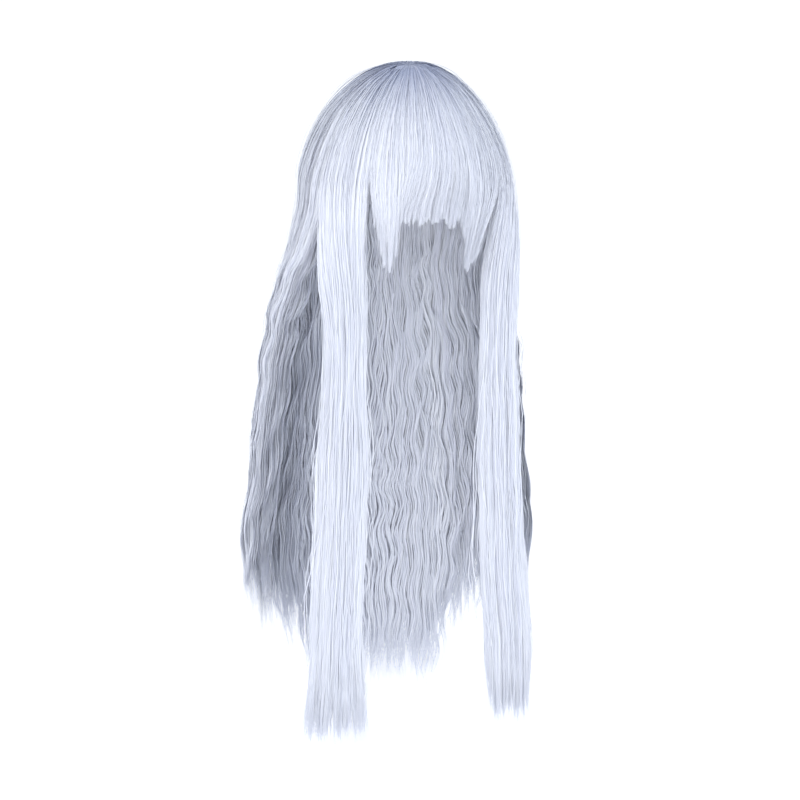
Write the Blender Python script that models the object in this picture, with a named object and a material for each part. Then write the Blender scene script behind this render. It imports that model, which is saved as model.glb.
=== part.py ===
"""Long costume wig with a full fringe: cap, adjusters and hair, one object for each piece.

Metres, +Z up. The face looks along -Y and the wearer's left is +X. The origin is where the
crown of the head bears on the inside of the cap. A bearing is an angle in degrees round the
head: 0 at the face, 90 at the wearer's left ear, 180 at the back.
"""

import math

import bmesh
import bpy
from mathutils import Matrix, Vector

# The head that the cap fits: an ellipsoid whose top is the origin.
HEAD_HALF_WIDTH = 0.077
HEAD_HALF_DEPTH = 0.097
HEAD_RISE = 0.105

# How far the hair stands off the head above the ears.
TOP_LOFT = 0.017
SIDE_LOFT = 0.035
END_LOFT = 0.028
CROWN_SLOPE = 0.24

# Cloth, tape and sewing sizes.
CLOTH_THICKNESS = 0.0008
NET_THICKNESS = 0.0006
TRACK_THICKNESS = 0.0014
LAYER_GAP = 0.0006
END_GAP = 0.0005
HAIR_ROOT_GAP = 0.0015
BAND_HEIGHT = 0.018
RIBBON_WIDTH = 0.010
TRACK_HEIGHT = 0.005
CROWN_PATCH_RADIUS = 0.019

# Rims of the net and the crown hair, as sines of their elevation over the head's centre.
NET_RIM_FRONT = 0.56
NET_RIM_BACK = 0.22
CROWN_RIM_FRONT = 0.50
CROWN_RIM_BACK = -0.24
CROWN_RIM_REACH = 0.92

# Ribbons down the back of the cap, and how far each runs on under the net, as a sine.
RIBBONS = 5
RIBBON_SPACING = 26.0
RIBBON_UNDER_NET = 0.22

# Weft tracks: rows counted from the nape up, one over the brow, one at each side, rings on top.
TRACK_PITCH = 0.0105
BACK_TRACKS = 6
LOWEST_TRACK_RISE = 0.0081
TRACK_END_MARGIN = 0.05
TRACK_FARTHEST = 76.0
FRINGE_TRACK_END = 58.0
FRINGE_TRACK_SINE = 0.62
SIDE_TRACK_START = 63.0
SIDE_TRACK_END = 99.0
SIDE_TRACK_SINE = 0.36
CROWN_TRACK_ELEVATIONS = (62.0, 48.0)

# Heights of the cap's lower edge, which is the hairline in front.
FRONT_EDGE = -0.055
NAPE_EDGE = -0.150
FRONT_BAND_END = 62.0
SIDE_BAND_END = 128.0

# Ear tabs: flat pieces that hang from the side bands in front of the ears.
TAB_BEARING = 78.0
TAB_WIDTH = 0.016
TAB_HEIGHT = 0.024
TAB_CORNER = 0.004
STAY_WIDTH = 0.004
STAY_LENGTH = 0.017

# Adjusters: hooked straps that run round the nape on a circle, angles from the back.
STRAP_HEIGHT = 0.008
STRAP_STAND_OFF = 0.0024
STRAP_START = 30.0
STRAP_END = 52.0
HOOK_SPAN = 4.5
STRAP_TRAVEL = 13.0
NAPE_FIT_ANGLE = 46.0
HOOK_STEP = 0.0004
HOOK_WINDOW_START = 0.28
HOOK_WINDOW_END = 0.62
HOOK_WINDOW_SHARE = 0.50
KEEPER_START = 34.0
KEEPER_END = 38.5
KEEPER_WALL = 0.0007
KEEPER_CLEARANCE = 0.0005
LOOPS = 3
LOOP_RISE = 0.0010
LOOP_WIDTH = 0.0022
LOOP_HEIGHT_SHARE = 0.70
TAPE_START_MARGIN = 2.0
TAPE_END_MARGIN = 1.0
CUTTER_REACH = 0.002

# Hair, by its heights and how it hangs.
PARTING_GAP = 0.0008
TIP_HEIGHT = -0.700
FRINGE_TOP = -0.063
FRINGE_TIP = -0.128
FRINGE_END = 39.5
FRINGE_THICKNESS = 0.012
FRINGE_TIP_SHARE = 0.45
FRINGE_SKIN = 0.001
FRINGE_SIDE_INSET = 0.004
WISP_TIP = -0.200
WISP_THICKNESS = 0.006
WISP_TOP_INNER = 22.0
WISP_TIP_INNER = 15.0
WISP_TIP_OUTER = 10.0
LOCK_TOP = -0.088
LOCK_TOP_WIDTH = 0.040
LOCK_TIP_WIDTH = 0.050
LOCK_THICKNESS = 0.022
LOCK_TIP_SHARE = 0.45
LOCK_EDGE_SHARE = 0.25
LOCK_FORWARD = 0.056
LOCK_INNER_SHARE = 0.82
LOCK_STAND_OFF = 0.004
LOCK_DRAW_IN = 0.0075
LOCK_FLARE = 0.0125
CURTAIN_TOP_BACK = -0.182
CURTAIN_TOP_SIDE = -0.118
LAYER_THICKNESS = 0.0115
HAIR_LAYER_GAP = 0.0015
WING_LAYERS = 2
WING_START = 64.0
WING_END = 104.0
WING_GAP = 1.0
CURTAIN_TOP_START = 20.0
CURTAIN_TOP_END = 95.0
LAYER_TIP_SHARE = 0.5
CURTAIN_DEPTH = 0.125
SIDE_HEM_RISE = 0.120
LAYER_HEM_STEP = 0.040

HAIR_COLOUR = (0.62, 0.67, 0.81)
CAP_COLOUR = (0.55, 0.56, 0.60)


def clear_scene():
    for scene_object in list(bpy.data.objects):
        bpy.data.objects.remove(scene_object, do_unlink=True)


def new_collection(name):
    collection = bpy.data.collections.new(name)
    bpy.context.scene.collection.children.link(collection)
    return collection


def finish(name, colour, roughness):
    material = bpy.data.materials.new(name)
    material.use_nodes = True
    shader = material.node_tree.nodes["Principled BSDF"]
    shader.inputs["Base Color"].default_value = (*colour, 1.0)
    shader.inputs["Roughness"].default_value = roughness
    shader.inputs["Metallic"].default_value = 0.0
    return material


clear_scene()
wig = new_collection("costume_wig")
cutters = new_collection("cutters")
FINISHES = {
    "hair": (HAIR_COLOUR, 0.42),
    "lace": ((0.70, 0.71, 0.75), 0.80),
    "net": (CAP_COLOUR, 0.75),
    "elastic": ((0.60, 0.61, 0.66), 0.70),
    "stitching": ((0.50, 0.53, 0.62), 0.65),
    "skin_patch": ((0.78, 0.74, 0.74), 0.55),
    "plastic": ((0.80, 0.81, 0.84), 0.35),
}


def add_object(name, mesh_or_bm, slot, collection=wig):
    """Puts a mesh in the scene under its name, with a material of its own."""
    mesh = mesh_or_bm
    if isinstance(mesh_or_bm, bmesh.types.BMesh):
        mesh = bpy.data.meshes.new(name)
        mesh_or_bm.to_mesh(mesh)
        mesh_or_bm.free()
    colour, roughness = FINISHES[slot]
    mesh.materials.clear()
    mesh.materials.append(finish(name + "_finish", colour, roughness))
    piece = bpy.data.objects.new(name, mesh)
    collection.objects.link(piece)
    return piece


def grid_chart(columns, rows):
    """A flat open sheet whose points run from 0 to 1 in x and y."""
    bm = bmesh.new()
    bmesh.ops.create_grid(bm, x_segments=columns, y_segments=rows, size=0.5)
    bmesh.ops.translate(bm, vec=Vector((0.5, 0.5, 0.0)), verts=list(bm.verts))
    return bm


def ball_chart(around, rings, *cuts):
    """A unit ball, opened by planes that each keep the side their normal points to."""
    bm = bmesh.new()
    bmesh.ops.create_uvsphere(bm, u_segments=around, v_segments=rings, radius=1.0)
    for point, normal in cuts:
        everything = list(bm.verts) + list(bm.edges) + list(bm.faces)
        bmesh.ops.bisect_plane(
            bm, geom=everything, dist=1e-6, plane_co=point, plane_no=normal, clear_inner=True
        )
    return bm


def thicken(bm, place):
    """Makes an open chart a closed wall: place gives each point's inner (0) and outer (1) spot."""
    inner = list(bm.verts)
    grown = bmesh.ops.extrude_face_region(bm, geom=list(bm.faces), use_keep_orig=True)["geom"]
    outer = [element for element in grown if isinstance(element, bmesh.types.BMVert)]
    for vert in inner:
        vert.co = place(vert.co.copy(), 0.0)
    for vert in outer:
        vert.co = place(vert.co.copy(), 1.0)
    bmesh.ops.recalc_face_normals(bm, faces=list(bm.faces))
    if bm.calc_volume(signed=True) < 0.0:
        bmesh.ops.reverse_faces(bm, faces=list(bm.faces))
    return bm


def blend(start, end, share):
    return start + (end - start) * share


def ease(share):
    share = min(max(share, 0.0), 1.0)
    return share * share * (3.0 - 2.0 * share)


def direction(bearing, sine):
    """Unit vector at a bearing and a sine of its elevation over the head's centre."""
    level = math.sqrt(max(1.0 - sine * sine, 0.0))
    turn = math.radians(bearing)
    return Vector((math.sin(turn) * level, -math.cos(turn) * level, sine))


def shell_point(unit, side, end, top):
    """Point over a unit direction on the head's ellipsoid grown by three offsets."""
    return Vector((
        unit.x * (HEAD_HALF_WIDTH + side),
        unit.y * (HEAD_HALF_DEPTH + end),
        unit.z * (HEAD_RISE + top) - HEAD_RISE,
    ))


def crown_share(sine):
    """Share of the loft that the hair keeps where the crown slopes, between its top and sides."""
    return 1.0 - CROWN_SLOPE * 2 * max(sine, 0.0) * math.sqrt(max(1.0 - sine * sine, 0.0))


def cap_point(bearing, sine, offset):
    return shell_point(direction(bearing, sine), offset, offset, offset)


def sine_of(height):
    return (height + HEAD_RISE) / HEAD_RISE


def edge_sine(bearing):
    """The cap's lower edge: high over the forehead, low at the nape."""
    middle = (sine_of(FRONT_EDGE) + sine_of(NAPE_EDGE)) / 2
    swing = (sine_of(FRONT_EDGE) - sine_of(NAPE_EDGE)) / 2
    return middle + swing * math.cos(math.radians(bearing))


def cap_sheet(name, slot, bearings, sines, layer, thickness, columns, rows=1):
    """A strip of cloth or tape on the head: sines gives its low and high edge at a bearing."""

    def place(chart, wall):
        bearing = blend(bearings[0], bearings[1], chart.x)
        low, high = sines(bearing)
        return cap_point(bearing, blend(low, high, chart.y), layer + wall * thickness)

    return add_object(name, thicken(grid_chart(columns, rows), place), slot)


# The layers of the cap, counted outwards from the head.
BAND_LAYER = 0.0
NET_LAYER = BAND_LAYER + CLOTH_THICKNESS + LAYER_GAP
TRACK_LAYER = NET_LAYER + NET_THICKNESS + LAYER_GAP
HAIR_LAYER = TRACK_LAYER + TRACK_THICKNESS + HAIR_ROOT_GAP
GAP_BEARING = math.degrees(END_GAP / HEAD_HALF_WIDTH)
BAND_SPAN = BAND_HEIGHT / HEAD_RISE


def band_sines(bearing):
    return edge_sine(bearing), edge_sine(bearing) + BAND_SPAN


def mirrored(sign, start, end):
    """A bearing range on the wearer's left for sign 1, or its mirror image on the right."""
    return (start, end) if sign > 0 else (-end, -start)


SIDES = (("left", 1.0), ("right", -1.0))


def make_bands():
    """Edge bands of the cap, end to end round the head."""
    cap_sheet(
        "front_band", "lace", (-FRONT_BAND_END, FRONT_BAND_END), band_sines,
        BAND_LAYER, CLOTH_THICKNESS, 20,
    )
    for side, sign in SIDES:
        start = FRONT_BAND_END + GAP_BEARING
        span = mirrored(sign, start, SIDE_BAND_END - GAP_BEARING)
        cap_sheet(
            "side_band_" + side, "elastic", span, band_sines, BAND_LAYER, CLOTH_THICKNESS, 10,
        )
    cap_sheet(
        "nape_band", "elastic", (SIDE_BAND_END, 360.0 - SIDE_BAND_END), band_sines,
        BAND_LAYER, CLOTH_THICKNESS, 18,
    )


def make_net():
    """Net dome sewn over the top of the front band, and the ribbons below it at the back."""
    slope = (NET_RIM_FRONT - NET_RIM_BACK) / 2
    middle = (NET_RIM_FRONT + NET_RIM_BACK) / 2
    rim = (Vector((0.0, 0.0, middle)), Vector((0.0, slope, 1.0)).normalized())
    chart = ball_chart(48, 24, rim)

    def place(unit, wall):
        offset = NET_LAYER + wall * NET_THICKNESS
        return shell_point(unit, offset, offset, offset)

    add_object("crown_net", thicken(chart, place), "net")
    half_angle = math.degrees(RIBBON_WIDTH / 2 / HEAD_HALF_DEPTH)
    for number in range(RIBBONS):
        bearing = 180.0 + (number - (RIBBONS - 1) / 2) * RIBBON_SPACING

        def reach(at):
            return edge_sine(at) + BAND_SPAN + END_GAP / HEAD_RISE, NET_RIM_BACK + RIBBON_UNDER_NET

        cap_sheet(
            f"back_ribbon_{number + 1}", "elastic", (bearing - half_angle, bearing + half_angle),
            reach, BAND_LAYER, CLOTH_THICKNESS, 2, 5,
        )


def track_sines(sine):
    half = TRACK_HEIGHT / HEAD_RISE / 2
    return lambda bearing: (sine - half, sine + half)


def make_tracks():
    """Stitched tracks that hold the wefts: rows across the back, one over the brow, rings on top."""
    lowest = sine_of(NAPE_EDGE + BAND_HEIGHT + LOWEST_TRACK_RISE)
    for row in range(BACK_TRACKS):
        sine = lowest + (BACK_TRACKS - 1 - row) * TRACK_PITCH / HEAD_RISE
        # A row runs as far forward as the band under it does, and stops behind the side tracks.
        height = sine - TRACK_END_MARGIN - edge_sine(90.0)
        shared = min(max(height / (edge_sine(0.0) - edge_sine(90.0)), -1.0), 1.0)
        reach = min(180.0 - math.degrees(math.acos(shared)), TRACK_FARTHEST)
        cap_sheet(
            f"back_track_{row + 1}", "stitching", (180.0 - reach, 180.0 + reach),
            track_sines(sine), TRACK_LAYER, TRACK_THICKNESS, 26,
        )
    cap_sheet(
        "fringe_track", "stitching", (-FRINGE_TRACK_END, FRINGE_TRACK_END),
        track_sines(FRINGE_TRACK_SINE),
        TRACK_LAYER, TRACK_THICKNESS, 20,
    )
    for side, sign in SIDES:
        cap_sheet(
            "side_track_" + side, "stitching",
            mirrored(sign, SIDE_TRACK_START, SIDE_TRACK_END), track_sines(SIDE_TRACK_SINE),
            TRACK_LAYER, TRACK_THICKNESS, 8,
        )
    for number, elevation in enumerate(CROWN_TRACK_ELEVATIONS, 1):
        low = math.sin(math.radians(elevation))
        high = math.sin(math.radians(elevation + math.degrees(TRACK_HEIGHT / HEAD_HALF_WIDTH)))
        chart = ball_chart(
            40, 36,
            (Vector((0.0, 0.0, low)), Vector((0.0, 0.0, 1.0))),
            (Vector((0.0, 0.0, high)), Vector((0.0, 0.0, -1.0))),
        )

        def place(unit, wall):
            offset = TRACK_LAYER + wall * TRACK_THICKNESS
            return shell_point(unit, offset, offset, offset)

        add_object(f"crown_track_{number}", thicken(chart, place), "stitching")


def make_crown_patch():
    """Round patch at the whorl, which the crown hair is knotted into."""
    rim = math.cos(CROWN_PATCH_RADIUS / HEAD_HALF_WIDTH)
    chart = ball_chart(32, 36, (Vector((0.0, 0.0, rim)), Vector((0.0, 0.0, 1.0))))

    def place(unit, wall):
        offset = TRACK_LAYER + wall * CLOTH_THICKNESS
        return shell_point(unit, offset, offset, offset)

    add_object("crown_patch", thicken(chart, place), "skin_patch")


def rounded_box(size, corner):
    """Plate with rounded corners in its own plane (x across, z up), hung from its top edge."""
    width, thickness, height = size
    bm = bmesh.new()
    bmesh.ops.create_cube(bm, size=1.0)
    bmesh.ops.scale(bm, vec=Vector(size), verts=list(bm.verts))
    lower = [
        edge for edge in bm.edges
        if abs(edge.verts[0].co.y - edge.verts[1].co.y) > thickness / 2
        and edge.verts[0].co.z < 0
    ]
    bmesh.ops.bevel(
        bm, geom=lower, offset=min(corner, width / 2.5), segments=4, profile=0.5,
        affect="EDGES",
    )
    bmesh.ops.translate(bm, vec=Vector((0.0, 0.0, -height / 2)), verts=list(bm.verts))
    return bm


def tab_frame(sign):
    """Where an ear tab hangs: its y axis points out of the head and its top edge is at the origin."""
    bearing = math.radians(TAB_BEARING)
    outward = Vector((
        math.sin(bearing) / HEAD_HALF_WIDTH, -math.cos(bearing) / HEAD_HALF_DEPTH, 0.0
    )).normalized()
    spot = Vector((
        math.sin(bearing) * HEAD_HALF_WIDTH, -math.cos(bearing) * HEAD_HALF_DEPTH, 0.0
    ))
    # The edge leans with the band, so the tab starts below the band's lowest corner.
    lean = math.degrees(TAB_WIDTH / 2 / HEAD_HALF_DEPTH)
    top = edge_sine(TAB_BEARING + lean) * HEAD_RISE - HEAD_RISE - END_GAP
    spot.z = top
    outward.x *= sign
    spot.x *= sign
    up = Vector((0.0, 0.0, 1.0))
    across = outward.cross(up)
    axes = Matrix((across, outward, up)).transposed().to_4x4()
    return Matrix.Translation(spot) @ axes


def make_ear_tabs():
    for side, sign in SIDES:
        frame = tab_frame(sign)
        tab = rounded_box((TAB_WIDTH, CLOTH_THICKNESS, TAB_HEIGHT), TAB_CORNER)
        bmesh.ops.translate(
            tab, vec=Vector((0.0, END_GAP + CLOTH_THICKNESS / 2, 0.0)), verts=list(tab.verts)
        )
        piece = add_object("ear_tab_" + side, tab, "lace")
        piece.matrix_world = frame
        stay = rounded_box((STAY_WIDTH, CLOTH_THICKNESS, STAY_LENGTH), STAY_WIDTH / 2)
        inset = (TAB_HEIGHT - STAY_LENGTH) / 2
        stand_off = END_GAP + CLOTH_THICKNESS + END_GAP + CLOTH_THICKNESS / 2
        bmesh.ops.translate(
            stay, vec=Vector((0.0, stand_off, -inset)), verts=list(stay.verts)
        )
        piece = add_object("ear_stay_" + side, stay, "plastic")
        piece.matrix_world = frame


class NapeCircle:
    """The circle that the straps slide round, through three points of the nape band."""

    def __init__(self):
        self.height = NAPE_EDGE + BAND_HEIGHT / 2
        self.sine = sine_of(self.height)
        level = math.sqrt(1.0 - self.sine * self.sine)
        half_width = (HEAD_HALF_WIDTH + CLOTH_THICKNESS) * level
        half_depth = (HEAD_HALF_DEPTH + CLOTH_THICKNESS) * level
        aside = half_width * math.sin(math.radians(NAPE_FIT_ANGLE))
        back = half_depth * math.cos(math.radians(NAPE_FIT_ANGLE))
        self.centre = (half_depth ** 2 - aside ** 2 - back ** 2) / (2 * (half_depth - back))
        self.radius = half_depth - self.centre
        # How much the head widens for each metre of height, so that straps lie flat on it.
        self.slope = -self.sine / level * half_depth / HEAD_RISE

    def point(self, angle, height, stand_off):
        turn = math.radians(angle)
        radius = self.radius + stand_off + self.slope * height
        return Vector((
            math.sin(turn) * radius, self.centre + math.cos(turn) * radius, self.height + height
        ))


nape = NapeCircle()


def arc_bar(angles, heights, stand_offs, columns=8):
    """Bar bent round the nape circle between two angles, heights and distances off the band."""

    def place(chart, wall):
        angle = blend(angles[0], angles[1], chart.x)
        height = blend(heights[0], heights[1], chart.y)
        return nape.point(angle, height, blend(stand_offs[0], stand_offs[1], wall))

    return thicken(grid_chart(columns, 1), place)


def join_with_boolean(target, other, operation):
    """Applies a Boolean with a helper object, which is then removed."""
    modifier = target.modifiers.new(operation.lower(), "BOOLEAN")
    modifier.operation = operation
    modifier.object = other
    graph = bpy.context.evaluated_depsgraph_get()
    graph.update()
    mesh = bpy.data.meshes.new_from_object(target.evaluated_get(graph))
    target.modifiers.clear()
    target.data = mesh
    bpy.data.objects.remove(other, do_unlink=True)


def helper(name, bm):
    """A cutter or a shape to be joined, which isn't a piece itself."""
    piece = add_object(name, bm, "plastic", cutters)
    piece.hide_render = True
    piece.display_type = "WIRE"
    return piece


def make_adjusters():
    """Two straps with hooks, the sleeves they run in, and the tapes of loops they hook into."""
    half = STRAP_HEIGHT / 2
    strap_out = STRAP_STAND_OFF + CLOTH_THICKNESS
    hook_out = strap_out + HOOK_STEP
    loop_pitch = STRAP_TRAVEL / (LOOPS - 1)
    for side, sign in SIDES:

        def span(start, end):
            return sorted((sign * start, sign * end))

        strap = arc_bar(span(STRAP_START, STRAP_END), (-half, half), (STRAP_STAND_OFF, strap_out))
        add_object("strap_" + side, strap, "elastic")

        gap = math.degrees(END_GAP / nape.radius)
        hook_end = STRAP_START - gap
        hook = add_object(
            "strap_hook_" + side,
            arc_bar(
                span(hook_end - HOOK_SPAN, hook_end), (-half, half),
                (STRAP_STAND_OFF, hook_out), 3,
            ),
            "plastic",
        )
        window = arc_bar(
            span(hook_end - HOOK_SPAN * HOOK_WINDOW_END, hook_end - HOOK_SPAN * HOOK_WINDOW_START),
            (-half * HOOK_WINDOW_SHARE, half * HOOK_WINDOW_SHARE),
            (STRAP_STAND_OFF - CUTTER_REACH, hook_out + CUTTER_REACH), 2,
        )
        join_with_boolean(hook, helper("hook_window_" + side, window), "DIFFERENCE")

        clear = KEEPER_CLEARANCE
        keeper = add_object(
            "strap_keeper_" + side,
            arc_bar(
                span(KEEPER_START, KEEPER_END),
                (-half - clear - KEEPER_WALL, half + clear + KEEPER_WALL),
                (STRAP_STAND_OFF - clear - KEEPER_WALL, hook_out + clear + KEEPER_WALL), 3,
            ),
            "elastic",
        )
        passage = arc_bar(
            span(KEEPER_START - TAPE_START_MARGIN, KEEPER_END + TAPE_START_MARGIN),
            (-half - clear, half + clear), (STRAP_STAND_OFF - clear, hook_out + clear), 5,
        )
        join_with_boolean(keeper, helper("keeper_passage_" + side, passage), "DIFFERENCE")

        tape = add_object(
            "loop_tape_" + side,
            arc_bar(
                span(
                    STRAP_START - LOOPS * loop_pitch - TAPE_START_MARGIN,
                    STRAP_START + TAPE_END_MARGIN,
                ),
                (-half, half), (END_GAP, END_GAP + CLOTH_THICKNESS / 2), 10,
            ),
            "elastic",
        )
        for number in range(LOOPS):
            angle = STRAP_START - HOOK_SPAN / 2 - number * loop_pitch
            half_span = math.degrees(LOOP_WIDTH / 2 / nape.radius)
            loop = arc_bar(
                span(angle - half_span, angle + half_span),
                (-half * LOOP_HEIGHT_SHARE, half * LOOP_HEIGHT_SHARE),
                (END_GAP + CLOTH_THICKNESS / 4, END_GAP + CLOTH_THICKNESS / 2 + LOOP_RISE), 1,
            )
            join_with_boolean(tape, helper(f"loop_{side}_{number}", loop), "UNION")


def make_crown_hair():
    """The crown's hair, from the whorl down to the rim where the long hair starts, in two halves."""
    slope = (CROWN_RIM_FRONT - CROWN_RIM_BACK) / 2 / CROWN_RIM_REACH
    middle = (CROWN_RIM_FRONT + CROWN_RIM_BACK) / 2
    rim = (Vector((0.0, 0.0, middle)), Vector((0.0, slope, 1.0)).normalized())
    for side, sign in SIDES:
        gap = PARTING_GAP / 2 / HEAD_HALF_WIDTH
        parting = (Vector((sign * gap, 0.0, 0.0)), Vector((sign, 0.0, 0.0)))
        chart = ball_chart(36, 18, rim, parting)

        def place(unit, wall):
            kept = crown_share(unit.z)
            return shell_point(
                unit,
                blend(HAIR_LAYER, SIDE_LOFT * kept, wall),
                blend(HAIR_LAYER, END_LOFT * kept, wall),
                blend(HAIR_LAYER, TOP_LOFT * kept, wall),
            )

        add_object("crown_hair_" + side, thicken(chart, place), "hair")


def fringe_point(bearing, height, inset):
    """Point of the fringe, which follows the crown down to the brow and then hangs straight."""
    rise = HEAD_RISE + TOP_LOFT
    sine = max(height + HEAD_RISE, 0.0) / rise
    level = math.sqrt(1.0 - sine * sine)
    turn = math.radians(bearing)
    kept = crown_share(sine)
    return Vector((
        math.sin(turn) * (HEAD_HALF_WIDTH + SIDE_LOFT * kept - FRINGE_SIDE_INSET - inset) * level,
        -math.cos(turn) * (HEAD_HALF_DEPTH + END_LOFT * kept - inset) * level,
        height,
    ))


def make_fringe():
    """Fringe over the brow, with a longer wisp at each cheek."""

    def place(chart, wall):
        bearing = blend(-FRINGE_END, FRINGE_END, chart.x)
        height = blend(FRINGE_TIP, FRINGE_TOP, chart.y)
        thickness = FRINGE_THICKNESS * blend(FRINGE_TIP_SHARE, 1.0, ease(chart.y * 1.6))
        return fringe_point(bearing, height, FRINGE_SKIN + (1.0 - wall) * thickness)

    add_object("fringe", thicken(grid_chart(18, 5), place), "hair")
    for side, sign in SIDES:

        def place_wisp(chart, wall):
            start = FRINGE_END - blend(WISP_TIP_INNER, WISP_TOP_INNER, chart.y)
            end = FRINGE_END - blend(WISP_TIP_OUTER, 0.0, chart.y)
            bearing = blend(start, end, chart.x) * sign
            top = FRINGE_TIP - HAIR_LAYER_GAP
            height = blend(WISP_TIP, top, chart.y)
            inset = FRINGE_SIDE_INSET + (1.0 - wall) * WISP_THICKNESS
            return fringe_point(bearing, height, inset)

        add_object("cheek_wisp_" + side, thicken(grid_chart(3, 4), place_wisp), "hair")


def make_front_locks():
    """The long straight lock in front of each shoulder."""
    for side, sign in SIDES:

        def place(chart, wall):
            down = 1.0 - chart.y
            width = blend(LOCK_TOP_WIDTH, LOCK_TIP_WIDTH, ease(down * 1.5))
            # It falls clear of the jaw, draws in beside the neck and spreads over the chest.
            beside = HEAD_HALF_WIDTH * LOCK_INNER_SHARE + HAIR_LAYER + LOCK_STAND_OFF
            centre = beside + LOCK_TOP_WIDTH / 2 - LOCK_DRAW_IN * ease(down * 4.0)
            centre += LOCK_FLARE * ease((down - 0.3) / 0.7)
            bulge = math.sqrt(max(math.sin(math.pi * chart.x), 0.0))
            taper = blend(1.0, LOCK_TIP_SHARE, ease(down * 1.4 - 0.4))
            thickness = LOCK_THICKNESS * taper * blend(LOCK_EDGE_SHARE, 1.0, bulge)
            return Vector((
                sign * (centre + (chart.x - 0.5) * width),
                -LOCK_FORWARD - (wall - 0.5) * thickness,
                blend(TIP_HEIGHT, LOCK_TOP, chart.y),
            ))

        add_object("front_lock_" + side, thicken(grid_chart(5, 10), place), "hair")


# The plan of the long back hair at a few heights: share of the way from the cap's edge to the
# tips, how far the sides stand out past the crown hair, where the plan's centre lies, and how
# far the back lies from that centre.
CURTAIN_PLAN = (
    (0.00, 0.005, 0.000, 0.122),
    (0.09, 0.013, 0.008, 0.114),
    (0.17, 0.016, 0.026, 0.099),
    (0.25, 0.024, 0.040, 0.085),
    (0.33, 0.035, 0.045, 0.080),
    (0.48, 0.044, 0.052, 0.074),
    (0.67, 0.053, 0.055, 0.072),
    (1.00, 0.042, 0.052, 0.070),
)


def curtain_plan(height):
    share = (CURTAIN_TOP_SIDE - height) / (CURTAIN_TOP_SIDE - TIP_HEIGHT)
    share = min(max(share, 0.0), 1.0)
    below = next(i for i in range(1, len(CURTAIN_PLAN)) if share <= CURTAIN_PLAN[i][0])
    first, last = CURTAIN_PLAN[below - 1], CURTAIN_PLAN[below]
    mix = ease((share - first[0]) / (last[0] - first[0]))
    flare, centre, depth = (blend(first[i], last[i], mix) for i in (1, 2, 3))
    half_width = HEAD_HALF_WIDTH + SIDE_LOFT + flare
    grown = HEAD_HALF_DEPTH + END_LOFT - CURTAIN_DEPTH
    return half_width, centre, depth + grown


def curtain_point(angle, height, inset):
    """Point of the back hair at an angle from the back, at a height, in from its outside."""
    half_width, centre, depth = curtain_plan(height)
    turn = math.radians(angle)
    return Vector((
        math.sin(turn) * (half_width - inset), centre + math.cos(turn) * (depth - inset), height
    ))


def curtain_top(angle):
    share = ease((abs(angle) - CURTAIN_TOP_START) / (CURTAIN_TOP_END - CURTAIN_TOP_START))
    return blend(CURTAIN_TOP_BACK, CURTAIN_TOP_SIDE, share)


def curtain_hem(angle, shorter):
    return TIP_HEIGHT + shorter + (SIDE_HEM_RISE - shorter) * ease(abs(angle) / WING_END)


def curtain_sheet(name, angles, inset, thickness, shorter, columns, rows):
    def place(chart, wall):
        angle = blend(angles[0], angles[1], 1.0 - chart.x)
        height = blend(curtain_hem(angle, shorter), curtain_top(angle), chart.y)
        taper = blend(LAYER_TIP_SHARE, 1.0, ease(chart.y * 4.0))
        return curtain_point(angle, height, inset + (1.0 - wall) * thickness * taper)

    add_object(name, thicken(grid_chart(columns, rows), place), "hair")


def make_back_hair():
    """Long hair of the back wefts: three layers across the back and a wing at each side."""
    pitch = LAYER_THICKNESS + HAIR_LAYER_GAP
    reach = WING_START - WING_GAP
    for number, name in enumerate(("outer", "middle", "inner")):
        curtain_sheet(
            "back_hair_" + name, (-reach, reach), number * pitch, LAYER_THICKNESS,
            number * LAYER_HEM_STEP, 14, 20,
        )
    for side, sign in SIDES:
        curtain_sheet(
            "back_hair_" + side, sorted((sign * WING_START, sign * WING_END)), 0.0,
            WING_LAYERS * pitch, 0.0, 5, 20,
        )


make_bands()
make_net()
make_tracks()
make_crown_patch()
make_ear_tabs()
make_adjusters()
make_crown_hair()
make_fringe()
make_front_locks()
make_back_hair()
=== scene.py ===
"""Looks of the long costume wig: the sewn cap and its hair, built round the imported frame."""

import math

import bpy
import numpy as np
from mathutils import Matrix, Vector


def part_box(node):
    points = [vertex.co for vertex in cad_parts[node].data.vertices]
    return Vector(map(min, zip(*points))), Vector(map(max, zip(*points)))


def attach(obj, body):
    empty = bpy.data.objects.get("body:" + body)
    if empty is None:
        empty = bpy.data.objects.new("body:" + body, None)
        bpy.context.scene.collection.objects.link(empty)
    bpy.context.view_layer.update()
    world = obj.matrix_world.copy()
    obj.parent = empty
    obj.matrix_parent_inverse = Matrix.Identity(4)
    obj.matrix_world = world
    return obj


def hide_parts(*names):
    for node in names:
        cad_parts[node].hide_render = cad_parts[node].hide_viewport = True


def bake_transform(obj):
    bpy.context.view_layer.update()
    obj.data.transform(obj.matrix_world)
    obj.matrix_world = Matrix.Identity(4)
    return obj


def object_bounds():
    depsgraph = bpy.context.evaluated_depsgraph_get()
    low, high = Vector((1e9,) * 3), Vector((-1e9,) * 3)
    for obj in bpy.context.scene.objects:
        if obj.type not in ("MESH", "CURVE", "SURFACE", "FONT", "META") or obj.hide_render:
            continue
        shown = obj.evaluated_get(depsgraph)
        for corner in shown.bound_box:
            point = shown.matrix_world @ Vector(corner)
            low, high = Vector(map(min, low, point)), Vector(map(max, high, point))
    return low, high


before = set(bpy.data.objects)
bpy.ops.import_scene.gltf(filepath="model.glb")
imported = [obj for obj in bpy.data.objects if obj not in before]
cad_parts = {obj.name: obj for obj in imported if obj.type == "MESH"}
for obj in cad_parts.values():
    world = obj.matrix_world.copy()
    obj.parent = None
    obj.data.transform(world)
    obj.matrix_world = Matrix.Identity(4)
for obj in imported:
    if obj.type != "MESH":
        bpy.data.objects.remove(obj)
cad_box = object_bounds()


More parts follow.
